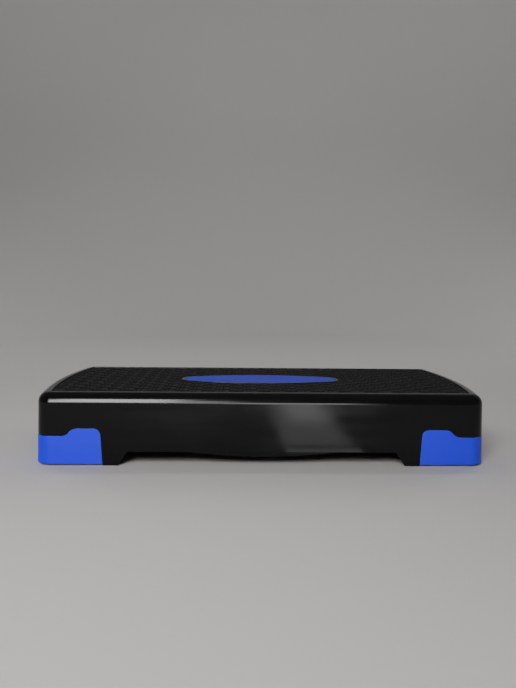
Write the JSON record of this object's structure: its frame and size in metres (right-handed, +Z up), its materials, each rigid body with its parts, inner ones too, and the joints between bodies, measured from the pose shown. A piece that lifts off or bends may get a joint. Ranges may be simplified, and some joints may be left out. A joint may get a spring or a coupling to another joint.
{
  "type": "aerobic step platform",
  "caption": "Low rectangular exercise step: ribbed plastic deck with a non-slip tread and oval badge, on corner feet that pull down for a higher level and are locked by slide bolts.",
  "frame": {"origin": "on the floor, under the middle of the deck", "axes": "+X along the deck to the right as seen from the pictured front, -Y towards that front, +Z up"},
  "size_m": [0.6826, 0.275, 0.105],
  "materials": {
    "deck_plastic": "satin moulded polypropylene",
    "tread_rubber": "matte, with short raised bars",
    "blue_plastic": "satin moulded polypropylene",
    "pad_rubber": "matte",
    "lock_nylon": "fine moulded",
    "keeper_plastic": "fine moulded",
    "screw_steel": "zinc plated"
  },
  "bodies": {
    "deck": {"deck_shell": "deck_plastic", "tread_mat": "tread_rubber", "oval_badge": "blue_plastic", "keeper_screws": "screw_steel", "front_left_lock_keeper": "keeper_plastic", "front_right_lock_keeper": "keeper_plastic", "back_left_lock_keeper": "keeper_plastic", "back_right_lock_keeper": "keeper_plastic"},
    "front_left_foot": {"front_left_foot": "blue_plastic", "front_left_sole_pad": "pad_rubber"},
    "front_left_lock_bolt": {"front_left_lock_bolt": "lock_nylon"},
    "front_right_foot": {"front_right_foot": "blue_plastic", "front_right_sole_pad": "pad_rubber"},
    "front_right_lock_bolt": {"front_right_lock_bolt": "lock_nylon"},
    "back_left_foot": {"back_left_foot": "blue_plastic", "back_left_sole_pad": "pad_rubber"},
    "back_left_lock_bolt": {"back_left_lock_bolt": "lock_nylon"},
    "back_right_foot": {"back_right_foot": "blue_plastic", "back_right_sole_pad": "pad_rubber"},
    "back_right_lock_bolt": {"back_right_lock_bolt": "lock_nylon"}
  },
  "joints": [
    {"name": "front_left_foot_slide", "type": "slide", "parent": "deck", "child": "front_left_foot", "axis": [0, 0, -1], "range_m": [0, 0.05]},
    {"name": "front_left_lock_bolt_slide", "type": "slide", "parent": "deck", "child": "front_left_lock_bolt", "axis": [0, -1, 0], "range_m": [0, 0.012]},
    {"name": "front_right_foot_slide", "type": "slide", "parent": "deck", "child": "front_right_foot", "axis": [0, 0, -1], "range_m": [0, 0.05]},
    {"name": "front_right_lock_bolt_slide", "type": "slide", "parent": "deck", "child": "front_right_lock_bolt", "axis": [0, -1, 0], "range_m": [0, 0.012]},
    {"name": "back_left_foot_slide", "type": "slide", "parent": "deck", "child": "back_left_foot", "axis": [0, 0, -1], "range_m": [0, 0.05]},
    {"name": "back_left_lock_bolt_slide", "type": "slide", "parent": "deck", "child": "back_left_lock_bolt", "axis": [0, 1, 0], "range_m": [0, 0.012]},
    {"name": "back_right_foot_slide", "type": "slide", "parent": "deck", "child": "back_right_foot", "axis": [0, 0, -1], "range_m": [0, 0.05]},
    {"name": "back_right_lock_bolt_slide", "type": "slide", "parent": "deck", "child": "back_right_lock_bolt", "axis": [0, 1, 0], "range_m": [0, 0.012]}
  ]
}
